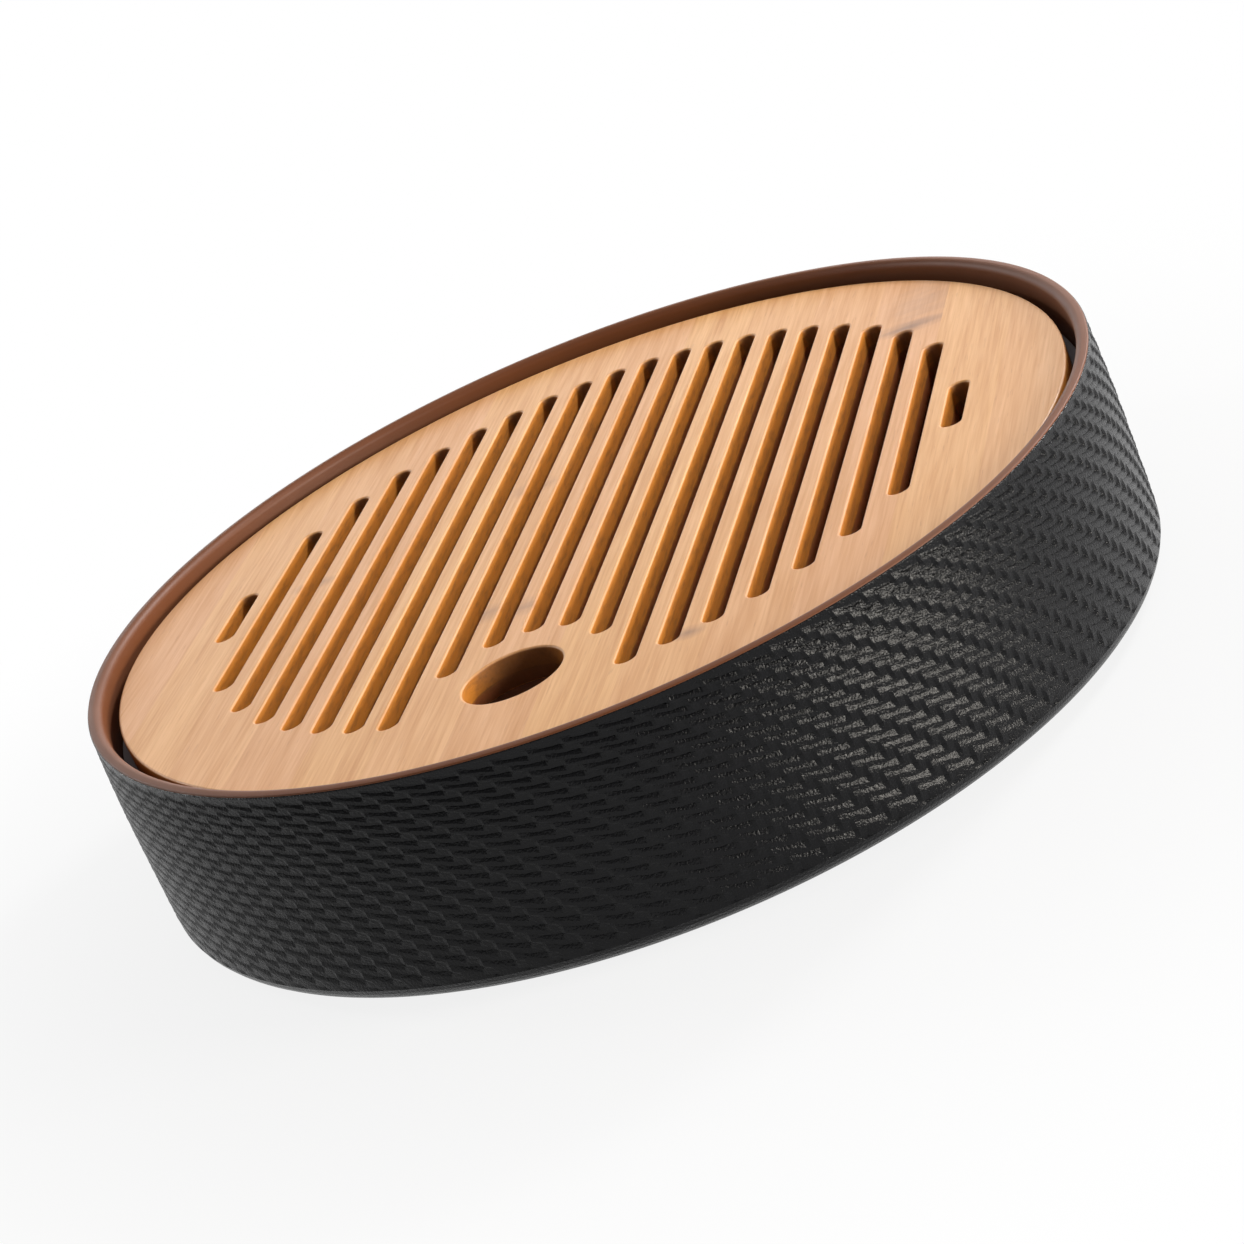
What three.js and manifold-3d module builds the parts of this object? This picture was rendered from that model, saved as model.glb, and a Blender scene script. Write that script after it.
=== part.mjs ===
// Round draining tray: a two-wall tub whose reservoir is covered by a loose slotted bamboo plate.
// Millimetres, +Z up. The origin lies on the table, under the middle of the tray.
// The plate's slots run along Y, and its finger hole is at the front, towards -Y.
import * as THREE from 'three';
import { mergeVertices } from 'three/addons/utils/BufferGeometryUtils.js';
import Module from 'manifold-3d';

// Tub
const TRAY_HEIGHT = 60; // table to the top of the rim
const RIM_RADIUS = 135; // outside of the rim
const RIM_CAP = 0.6; // height of the rim where it laps over the shell's top edge
const RIM_EDGE_ROUND = 0.4; // rounding of the rim's outer edge
const RIM_LIP_ROUND = 2; // rounding of the rim down into the basin
const SEAM_STEP = 0.2; // the shell stands this far outside the rim at the seam
const SEAM_EASE = 0.3; // eased top corner of the shell, which draws the seam line
const FIT_GAP = 0.3; // between parts that slip into each other

// Outer shell
const SHELL_WALL = 1.8; // at the top edge
const SHELL_FLOOR = 2.2;
const SHELL_SWELL = 1; // how far the wall swells out below the seam
const SWELL_DEPTH = 30; // below the rim's top the wall runs straight down from here
const SHELL_FOOT_ROUND = 6.5; // outside bottom edge
const SHELL_CORNER_ROUND = 4; // inside bottom corner

// Inner basin
const BASIN_WALL = 1.4;
const BASIN_FLOOR = 1.8;
const BASIN_DRAFT = THREE.MathUtils.degToRad(1);
const BASIN_ROUND = 10; // between the reservoir's wall and its floor
const LEDGE_WIDTH = 11; // step that carries the seat ring
const LEDGE_ROUND = 1.2;

// Seat ring
const RING_THICKNESS = 1.2;
const RING_INSET = 0.8; // from the ledge's inner edge
const RING_EASE = 0.3;

// Bamboo plate
const PLATE_DEPTH = 3.9; // rim's top to the plate's top
const PLATE_THICKNESS = 8.5;
const PLATE_PLAY = 3.3; // gap between the plate's edge and the basin's mouth
const PLATE_EASE = 0.6; // broken edges of the plate and of its cuts
const SLOT_PITCH = 10;
const SLOT_WIDTH = 5.2;
const SLOT_BORDER = 24.7; // plate's edge to the circle that the slots' outer corners reach
const SHORTEST_SLOT = 20;
const HOLE_DIAMETER = 25.2;
const HOLE_BORDER = 28; // plate's edge to the finger hole
const HOLE_WEB = 9.8; // wood left between the finger hole and the ends of the slots around it

// Foot pads
const FOOT_COUNT = 4;
const FOOT_DIAMETER = 16;
const FOOT_HEIGHT = 1.5; // below the shell
const FOOT_SOCKET = 0.8; // depth of the recess that locates a pad
const FOOT_INSET = 22; // edge of the flat underside to a pad's middle
const FOOT_EASE = 0.5;

// Facets
const TURN_FACES = 80;
const HOLE_FACES = 32;
const FOOT_FACES = 24;
const ROUND_FACES = 3; // quarter of a rounded edge
const LIP_ROUND_FACES = 5;
const FOOT_ROUND_FACES = 5;
const SWELL_FACES = 4;
const SLOT_END_FACES = 8;
const MERGE_DISTANCE = 1e-4; // vertices closer than this are one

// Heights and radii that follow from the sizes above
const seamZ = TRAY_HEIGHT - RIM_CAP;
const plateTopZ = TRAY_HEIGHT - PLATE_DEPTH;
const plateUnderZ = plateTopZ - PLATE_THICKNESS;
const ledgeZ = plateUnderZ - RING_THICKNESS;
const shellFloorZ = FOOT_HEIGHT + SHELL_FLOOR;
const basinFloorZ = shellFloorZ + BASIN_FLOOR;

const shellTopRadius = RIM_RADIUS + SEAM_STEP;
const shellInnerRadius = RIM_RADIUS - SHELL_WALL;
const shellLowRadius = shellTopRadius + SHELL_SWELL;
const shellBaseRadius = shellLowRadius - SHELL_FOOT_ROUND;

const basinSlope = Math.tan(BASIN_DRAFT);
const mouthRadius = shellInnerRadius - FIT_GAP - BASIN_WALL;
const mouthRadiusAt = (z) => mouthRadius - (TRAY_HEIGHT - z) * basinSlope;
const ledgeInnerRadius = mouthRadiusAt(ledgeZ) - LEDGE_WIDTH;
const wellRadiusAt = (z) => ledgeInnerRadius - (ledgeZ - z) * basinSlope;

const plateRadius = mouthRadius - PLATE_PLAY;
const slotFieldRadius = plateRadius - SLOT_BORDER;
const holeY = -(plateRadius - HOLE_BORDER - HOLE_DIAMETER / 2);

const wasm = await Module();
wasm.setup();

// Points and solids

const point = (x, y) => new THREE.Vector2(x, y);

// Points of an arc between two directions in degrees, in a profile or in the plan view.
function arc(centreX, centreY, radius, from, to, faces = ROUND_FACES) {
  return Array.from({ length: faces + 1 }, (_, step) => {
    const turn = THREE.MathUtils.degToRad(from + ((to - from) * step) / faces);
    return point(centreX + radius * Math.cos(turn), centreY + radius * Math.sin(turn));
  });
}

function circle(centreX, centreY, radius, faces) {
  return arc(centreX, centreY, radius, 0, 360, faces).slice(0, -1);
}

// Turns a profile about Z. Its points are a radius and a height.
function revolve(profile, faces = TURN_FACES) {
  return new THREE.LatheGeometry(profile, faces).rotateX(Math.PI / 2);
}

// Closed solid for joining and cutting, from a geometry whose shared vertices get merged.
function solidOf(geometry) {
  const bare = geometry.clone();
  bare.deleteAttribute('normal');
  bare.deleteAttribute('uv');
  const merged = mergeVertices(bare, MERGE_DISTANCE);
  const corners = merged.index.array;
  const kept = [];
  for (let i = 0; i < corners.length; i += 3) {
    const [a, b, c] = corners.slice(i, i + 3);
    if (a !== b && b !== c && c !== a) kept.push(a, b, c);
  }
  return new wasm.Manifold(new wasm.Mesh({
    numProp: 3,
    vertProperties: new Float32Array(merged.attributes.position.array),
    triVerts: new Uint32Array(kept),
  }));
}

function geometryOf(solid) {
  const mesh = solid.getMesh();
  const geometry = new THREE.BufferGeometry();
  geometry.setAttribute('position', new THREE.BufferAttribute(mesh.vertProperties, 3));
  geometry.setIndex(new THREE.BufferAttribute(mesh.triVerts, 1));
  geometry.computeVertexNormals();
  return geometry;
}

// Outer shell

// Outside from the base's edge up over the foot round and the swelling wall to the seam.
function shellOutside() {
  const swellEnd = point(shellLowRadius, TRAY_HEIGHT - SWELL_DEPTH);
  const top = point(shellTopRadius, seamZ - SEAM_EASE);
  const bend = point(shellLowRadius, (swellEnd.y + top.y) / 2);
  const footRoundZ = FOOT_HEIGHT + SHELL_FOOT_ROUND;
  return [
    ...arc(shellBaseRadius, footRoundZ, SHELL_FOOT_ROUND, -90, 0, FOOT_ROUND_FACES),
    ...new THREE.QuadraticBezierCurve(swellEnd, bend, top).getPoints(SWELL_FACES),
    point(shellTopRadius - SEAM_EASE, seamZ),
  ];
}

function outerShell() {
  const cornerZ = shellFloorZ + SHELL_CORNER_ROUND;
  const cornerRadius = shellInnerRadius - SHELL_CORNER_ROUND;
  const wall = revolve([
    point(0, FOOT_HEIGHT),
    ...shellOutside(),
    point(shellInnerRadius, seamZ),
    ...arc(cornerRadius, cornerZ, SHELL_CORNER_ROUND, 0, -90),
    point(0, shellFloorZ),
  ]);
  const socketRadius = FOOT_DIAMETER / 2 + FIT_GAP;
  return footPlaces().reduce((shell, place) => {
    const socket = new THREE.CylinderGeometry(socketRadius, socketRadius, FOOT_SOCKET * 2, FOOT_FACES)
      .rotateX(Math.PI / 2)
      .translate(place.x, place.y, FOOT_HEIGHT);
    return shell.subtract(solidOf(socket));
  }, solidOf(wall));
}

// Inner basin: reservoir, ledge for the plate, and the rim that laps over the shell

function innerBasin() {
  const roundZ = basinFloorZ + BASIN_ROUND;
  const roundRadius = wellRadiusAt(roundZ) - BASIN_ROUND;
  const outerRound = BASIN_ROUND + BASIN_WALL;
  const ledgeUnderZ = ledgeZ - BASIN_WALL;
  const edgeZ = TRAY_HEIGHT - RIM_EDGE_ROUND;
  const lipZ = TRAY_HEIGHT - RIM_LIP_ROUND;
  return revolve([
    point(0, shellFloorZ),
    ...arc(roundRadius, shellFloorZ + outerRound, outerRound, -90, 0),
    point(wellRadiusAt(ledgeUnderZ) + BASIN_WALL, ledgeUnderZ),
    point(mouthRadiusAt(ledgeUnderZ) + BASIN_WALL, ledgeUnderZ),
    point(mouthRadiusAt(seamZ) + BASIN_WALL, seamZ),
    point(RIM_RADIUS, seamZ),
    ...arc(RIM_RADIUS - RIM_EDGE_ROUND, edgeZ, RIM_EDGE_ROUND, 0, 90),
    ...arc(mouthRadius + RIM_LIP_ROUND, lipZ, RIM_LIP_ROUND, 90, 180, LIP_ROUND_FACES),
    point(mouthRadiusAt(ledgeZ), ledgeZ),
    ...arc(ledgeInnerRadius + LEDGE_ROUND, ledgeZ - LEDGE_ROUND, LEDGE_ROUND, 90, 180),
    ...arc(roundRadius, roundZ, BASIN_ROUND, 0, -90),
    point(0, basinFloorZ),
  ]);
}

// Seat ring on the ledge

function seatRing() {
  const inside = ledgeInnerRadius + LEDGE_ROUND + RING_INSET;
  const outside = mouthRadiusAt(ledgeZ) - FIT_GAP;
  return revolve([
    point(inside, ledgeZ),
    point(outside, ledgeZ),
    point(outside, plateUnderZ - RING_EASE),
    point(outside - RING_EASE, plateUnderZ),
    point(inside + RING_EASE, plateUnderZ),
    point(inside, plateUnderZ - RING_EASE),
    point(inside, ledgeZ),
  ]);
}

// Bamboo plate

// Middles of the slots across the plate, as many to each side as leave the shortest slot its length.
function slotMiddles() {
  const reach = Math.sqrt(slotFieldRadius ** 2 - (SHORTEST_SLOT / 2) ** 2) - SLOT_WIDTH / 2;
  const eachSide = Math.floor(reach / SLOT_PITCH);
  return Array.from({ length: 2 * eachSide + 1 }, (_, i) => (i - eachSide) * SLOT_PITCH);
}

// A routed slot with round ends. Its outer corners reach the slot field's circle, and in front of
// the finger hole it stops short on an arc about the hole.
function slotOutline(x) {
  const endRadius = SLOT_WIDTH / 2;
  const half = Math.sqrt(slotFieldRadius ** 2 - (Math.abs(x) + endRadius) ** 2);
  const keepOut = HOLE_DIAMETER / 2 + HOLE_WEB;
  const nearHole = Math.abs(x) < keepOut;
  const front = nearHole ? holeY + Math.sqrt(keepOut ** 2 - x ** 2) : -half;
  return [
    ...arc(x, half - endRadius, endRadius, 0, 180, SLOT_END_FACES),
    ...arc(x, front + endRadius, endRadius, 180, 360, SLOT_END_FACES),
  ];
}

function bambooPlate() {
  const board = new THREE.Shape(circle(0, 0, plateRadius, TURN_FACES));
  board.holes = slotMiddles().map((x) => new THREE.Path(slotOutline(x)));
  board.holes.push(new THREE.Path(circle(0, holeY, HOLE_DIAMETER / 2, HOLE_FACES)));
  return new THREE.ExtrudeGeometry(board, {
    depth: PLATE_THICKNESS - 2 * PLATE_EASE,
    bevelThickness: PLATE_EASE,
    bevelSize: PLATE_EASE,
    bevelOffset: -PLATE_EASE,
    bevelSegments: 1,
  }).translate(0, 0, plateUnderZ + PLATE_EASE);
}

// Foot pads

function footPlaces() {
  const radius = shellBaseRadius - FOOT_INSET;
  const turn = (2 * Math.PI) / FOOT_COUNT;
  return Array.from({ length: FOOT_COUNT }, (_, i) => point(
    radius * Math.cos((i + 0.5) * turn),
    radius * Math.sin((i + 0.5) * turn),
  ));
}

function footPad() {
  const radius = FOOT_DIAMETER / 2;
  const top = FOOT_HEIGHT + FOOT_SOCKET;
  return revolve([
    point(0, 0),
    point(radius - FOOT_EASE, 0),
    point(radius, FOOT_EASE),
    point(radius, top),
    point(0, top),
  ], FOOT_FACES);
}

// Materials

const finish = (color, roughness) => new THREE.MeshStandardMaterial({ color, roughness, metalness: 0 });
const blackMoulding = finish(0x1c1c1e, 0.45);
const brownMoulding = finish(0x7a4630, 0.3);
const bamboo = finish(0xe0b088, 0.6);
const rubber = finish(0x2a2a2b, 0.8);

// Assembly

const tray = new THREE.Group();

function add(name, geometry, material) {
  const mesh = new THREE.Mesh(geometry, material);
  mesh.name = name;
  tray.add(mesh);
  return mesh;
}

add('outer_shell', geometryOf(outerShell()), blackMoulding);
add('inner_basin', innerBasin(), brownMoulding);
add('seat_ring', seatRing(), rubber);
add('bamboo_plate', bambooPlate(), bamboo);
footPlaces().forEach((place, i) => {
  add(`foot_pad_${i + 1}`, footPad(), rubber).position.set(place.x, place.y, 0);
});

export default tray;
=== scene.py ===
"""Draining tray: fine meshes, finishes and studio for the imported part.

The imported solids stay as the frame. Each is replaced by a finely made piece of the same size that
rides on the same body: a shell with a woven relief, a turned basin, a seat ring, a routed bamboo
plate and four foot pads.
"""
import math

import bmesh
import bpy
from bpy.props import FloatProperty, FloatVectorProperty, IntProperty, PointerProperty
from mathutils import Matrix, Vector


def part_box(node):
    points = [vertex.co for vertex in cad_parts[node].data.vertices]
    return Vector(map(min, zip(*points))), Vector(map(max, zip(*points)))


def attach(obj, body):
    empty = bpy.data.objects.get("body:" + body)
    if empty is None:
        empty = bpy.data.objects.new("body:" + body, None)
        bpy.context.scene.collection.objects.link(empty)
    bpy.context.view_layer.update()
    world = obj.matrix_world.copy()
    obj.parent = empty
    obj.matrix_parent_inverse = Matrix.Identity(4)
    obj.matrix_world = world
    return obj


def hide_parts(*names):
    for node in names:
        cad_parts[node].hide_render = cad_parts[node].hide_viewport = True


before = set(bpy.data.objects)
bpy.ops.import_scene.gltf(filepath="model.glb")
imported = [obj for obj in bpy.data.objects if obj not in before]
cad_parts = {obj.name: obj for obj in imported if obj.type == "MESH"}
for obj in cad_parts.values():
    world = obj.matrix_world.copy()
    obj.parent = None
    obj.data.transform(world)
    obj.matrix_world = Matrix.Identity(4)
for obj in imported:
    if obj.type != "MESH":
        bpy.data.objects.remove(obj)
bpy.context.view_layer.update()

bl_info = {
    "name": "Draining Tray",
    "version": (1, 0, 0),
    "blender": (4, 5, 0),
    "location": "View3D > Sidebar > Tray",
    "description": "Woven shell, basin and slotted bamboo plate of a round draining tray",
    "category": "Object",
}

MM = 0.001
SHELL_LOW, SHELL_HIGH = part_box("outer_shell")
BASIN_LOW, BASIN_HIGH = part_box("inner_basin")
RING_LOW, RING_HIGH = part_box("seat_ring")
PLATE_LOW, PLATE_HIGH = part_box("bamboo_plate")
MIDDLE = Vector((0, 0, BASIN_HIGH.z / 2))
PADS = ("foot_pad_1", "foot_pad_2", "foot_pad_3", "foot_pad_4")
# Cane knuckles that show in the plate: middle x and y, half width and half height in millimetres,
# and strength.
KNUCKLES = ((82, 65, 13, 6, 0.85), (84, 80, 14, 26, 0.34), (-79, 7, 8, 4, 0.6), (-69, 3, 3, 6, 0.6),
            (-20, 30, 8, 6, 0.5), (-5, -49, 10, 6, 0.45), (-16, -47, 8, 6, 0.45), (45, -92, 5, 4, 0.6))
# Shape of the weave. A stitch's length and a row's height are 1.
RIDGE_LEAN = 0.25  # how far a ridge leans over one row, in stitches
STITCH_TURN = 0.15  # how far a stitch turns over its length, in rows
STITCH_LIP = 0.06  # height of a stitch's steep upper side, in rows
START_WIDTH = 0.7  # a stitch's width at its start, compared with its end
START_DEPTHS = (0, 0.3, 0.2, 0)  # depth across a stitch where it starts
FULL_DEPTHS = (0, 1, 0.5, 0)  # depth across a stitch at its deepest
EARLY_DEPTH = 0.65  # share of the full depth that a stitch has behind its start
DEPTH_RUN = 0.65  # how far along a stitch its full depth is reached
FIRST_FALL, FALL_ACROSS = 0.6, 0.5  # fall at the first ridge's foot, and its growth over a row
LAST_FALL = 0.8  # fall on the last ridge, compared with a strand's
# Faces round the basin, the ring and the plate, the finger hole, a pad and a pad's socket.
ROUND_STEPS, HOLE_STEPS, PAD_STEPS, SOCKET_STEPS = 288, 96, 64, 48
# Sockets of a colour Mix node: its factor, its two colours and its result.
FACTOR, COLOUR_A, COLOUR_B, MIXED = 0, 6, 7, 2
# Softboxes: turn from the camera's azimuth and rise in degrees, width and height in metres.
SOFTBOXES = {"key": (125, 31, 0.25, 0.25), "wall": (58, 11, 0.5, 0.45), "top": (90, 82, 0.9, 0.9),
             "side": (-130, 25, 0.2, 0.2), "back": (180, 17, 1.6, 0.4)}
LAMP_DISTANCE = 1.3  # from the tray's middle, in metres
SENSOR_WIDTH = 36  # millimetres
CLIP_START = 0.05  # nearest distance that the camera sees, in metres
FLOOR_REACH = 20  # half of the floor's side, in metres
FLOOR_DROP = 0.2 * MM  # keeps the floor off the pads' undersides
SHADE_START, SHADE_END = 0.13, 0.32  # radii in metres between which the floor turns white
SHADE_WHITE = 0.85  # whiteness of the floor under the tray
HAZE_TOP, HAZE_FULL = 0.32, 0.2  # heights of a ray where the white horizon ends and is full


def linear(code):
    """Linear RGBA of an sRGB hex colour."""
    channels = [int(code[i:i + 2], 16) / 255 for i in (1, 3, 5)]
    return [c / 12.92 if c <= 0.04045 else ((c + 0.055) / 1.055) ** 2.4 for c in channels] + [1.0]


def length(name, description, millimetres):
    return FloatProperty(name=name, description=description, default=millimetres * MM,
                         unit="LENGTH", precision=5)


def share(name, description, default):
    return FloatProperty(name=name, description=description, default=default, subtype="FACTOR",
                         min=0, max=1)


def angle(name, description, degrees):
    return FloatProperty(name=name, description=description, default=math.radians(degrees),
                         subtype="ANGLE")


def power(name, description, watts):
    return FloatProperty(name=name, description=description, default=watts, unit="POWER", min=0)


def colour(name, description, code):
    return FloatVectorProperty(name=name, description=description, default=linear(code), size=4,
                               subtype="COLOR", min=0, max=1)


# Settings


class ShellSettings(bpy.types.PropertyGroup):
    """Sizes and colour of the black shell and its woven relief."""
    wall: length("Wall", "Distance from the rim's outside to the shell's inside", 1.8)
    floor: length("Floor", "Thickness of the shell's bottom", 2.2)
    swell: length("Swell", "How far the wall swells out below the seam", 1)
    swell_end: length("Swell end", "Height below which the wall runs straight down", 30)
    foot_round: length("Foot round", "Radius of the outside bottom edge", 6.5)
    corner_round: length("Corner round", "Radius of the inside bottom corner", 4)
    seam_ease: length("Seam ease", "Eased top corner that draws the seam line", 0.3)
    socket_depth: length("Socket depth", "Depth of the recess that locates a foot pad", 0.8)
    socket_gap: length("Socket gap", "Gap between a foot pad and its recess", 0.3)
    columns: IntProperty(name="Columns", description="Stitches round the wall", default=103, min=8)
    rows: IntProperty(name="Rows", description="Rows of stitches down the wall", default=17, min=1)
    first_row: length("First row", "Height of the first row's middle", 56.65)
    row_pitch: length("Row pitch", "Height between the first two rows", 2.365)
    pitch_growth: length("Pitch growth", "How much each row's pitch exceeds the one above", 0.07)
    row_shift: length("Row shift", "How far the second row moves round from the first", 3.535)
    shift_loss: length("Shift loss", "How much less each row moves than the one above", 0.035)
    stitch_start: share("Stitch start", "Where a stitch starts along its strand", 0.167)
    ridge_slope: share("Ridge slope", "Width of a ridge's left side, in stitches", 0.095)
    stitch_end: share("Stitch end", "Half width of a stitch at its ends, in rows", 0.38)
    stitch_waist: share("Stitch waist", "Half width of a stitch at its waist", 0.21)
    strand_fall: length("Strand fall", "How far a strand falls from ridge to ridge", 0.45)
    stitch_depth: length("Stitch depth", "How far a stitch is sunk between its strands", 0.42)
    tint: colour("Colour", "Colour of the black moulding", "#08080A")
    grit: length("Grit", "Spacing of the fine grain on the moulding", 0.6)


class BasinSettings(bpy.types.PropertyGroup):
    """Sizes and colour of the brown basin."""
    wall: length("Wall", "Wall thickness", 1.4)
    floor: length("Floor", "Thickness of the reservoir's floor", 1.8)
    draft: angle("Draft", "Draft of the inside walls", 1)
    rim_width: length("Rim width", "Width of the rim's top", 3.5)
    rim_cap: length("Rim cap", "Height of the rim where it laps over the shell", 0.6)
    rim_fall: length("Rim fall", "How far the rim's top falls towards its outer edge", 0.2)
    edge_round: length("Edge round", "Rounding of the rim's outer edge", 0.4)
    lip_round: length("Lip round", "Rounding of the rim down into the basin", 2)
    ledge_width: length("Ledge width", "Width of the step that carries the seat ring", 11)
    ledge_round: length("Ledge round", "Rounding of the ledge's edge", 1.2)
    floor_round: length("Floor round", "Radius between the reservoir's wall and floor", 10)
    tint: colour("Colour", "Colour of the brown moulding", "#6C3B1A")
    peel: length("Peel", "Spacing of the soft unevenness of the moulded surface", 2.4)


class RingSettings(bpy.types.PropertyGroup):
    """Sizes and colour of the seat ring and the foot pads."""
    inset: length("Inset", "Distance from the ledge's rounded edge to the ring", 0.8)
    ease: length("Ring ease", "Eased edges of the ring", 0.3)
    pad_ease: length("Pad ease", "Eased edge of a foot pad", 0.5)
    # The seat ring is black rubber; this lighter grey is painted sheen, for the light it catches in
    # its shaded groove.
    tint: colour("Ring colour", "Colour of the seat ring's greyed rubber", "#6A6365")
    pad_tint: colour("Pad colour", "Colour of the pads' black rubber", "#2C2B2C")
    grain: length("Grain", "Spacing of the matte grain on the rubber", 0.25)


class PlateSettings(bpy.types.PropertyGroup):
    """Sizes and colours of the slotted bamboo plate."""
    ease: length("Ease", "Broken edges of the plate and of its cuts", 0.6)
    slot_pitch: length("Slot pitch", "Distance from slot to slot", 10)
    slot_width: length("Slot width", "Width of a routed slot", 5.2)
    slot_border: length("Slot border", "Plate's edge to the circle that bounds the slots", 24.7)
    slots_each_side: IntProperty(name="Slots each side", description="Slots beside the middle one",
                                 default=10, min=0)
    hole_diameter: length("Hole", "Diameter of the finger hole", 25.2)
    hole_border: length("Hole border", "Plate's edge to the finger hole", 28)
    hole_web: length("Hole web", "Wood between the finger hole and the slots around it", 9.8)
    strip: length("Strip", "Width of a glued bamboo strip", 20.1)
    ply: length("Ply", "Thickness of the plate's upper ply", 5)
    fibre: length("Fibre", "Width of the fine fibres", 0.8)
    pale: colour("Pale wood", "Colour of the pale bamboo", "#D9A771")
    blush: colour("Blush wood", "Colour of the pinker strips", "#D29D72")
    honey: colour("Honey wood", "Colour of the darker fibres", "#BE8650")
    vessel: colour("Vessels", "Colour of the thin dark dashes", "#8A5A34")
    knuckle: colour("Knuckles", "Colour of the grey smears at the cane's knuckles", "#6E5246")
    cut: colour("Cut wood", "Colour of the routed walls", "#BB711B")
    # The lower ply's darker colour is partly painted shade for the slots' shaded depths, and its
    # border sits where that light stops.
    under: colour("Under ply", "Colour of the routed walls of the lower ply", "#7E3813")
    # This dark colour paints the scorch marks and the glue line, and also painted shade on the walls
    # that face along Y.
    end: colour("End grain", "Colour of the routed ends, where the fibres are cut across", "#3A1709")


class StageSettings(bpy.types.PropertyGroup):
    """Camera, lamps and floor."""
    azimuth: angle("Azimuth", "Camera's turn to the right of the front", 19.691)
    elevation: angle("Elevation", "Camera's height above the horizon", 21.059)
    roll: angle("Roll", "Camera's roll about its line of sight", -23.407)
    distance: length("Distance", "Camera to the middle of the tray", 857.3)
    lens: FloatProperty(name="Lens", description="Focal length on a 36 mm sensor", default=96.82)
    aim_right: length("Aim right", "How far right of the tray's middle the camera aims", 0.369)
    aim_up: length("Aim up", "How far above the tray's middle the camera aims", -4.95)
    floor_tint: colour("Floor", "Colour of the pale floor", "#C8C8C8")
    key_power: power("Key", "Power of the small softbox behind the right side", 14.5)
    wall_power: power("Wall", "Power of the low softbox at the right that lights the weave", 19)
    wall_tint: colour("Wall light", "Colour of the softbox that lights the weave", "#FFF9EF")
    top_power: power("Top", "Power of the broad softbox overhead", 2.5)
    side_power: power("Side", "Power of the softbox behind the left side", 4.2)
    back_power: power("Back", "Power of the long softbox behind the tray", 4.2)
    dim: share("Dim", "Brightness of the studio's walls", 0.25)


# Materials


def add_node(tree, kind, inputs=None, **settings):
    """Adds a node, sets its properties, and fills its inputs with values or links."""
    node = tree.nodes.new(kind)
    for name, value in settings.items():
        setattr(node, name, value)
    for name, value in (inputs or {}).items():
        if isinstance(value, bpy.types.NodeSocket):
            tree.links.new(value, node.inputs[name])
        else:
            node.inputs[name].default_value = value
    return node


def empty_material(name):
    material = bpy.data.materials.new(name)
    material.use_nodes = True
    material.node_tree.nodes.clear()
    return material, material.node_tree


def tinted(tint, strength):
    """Darker or lighter copy of a colour."""
    return [strength * channel for channel in tint[:3]] + [1]


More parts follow.
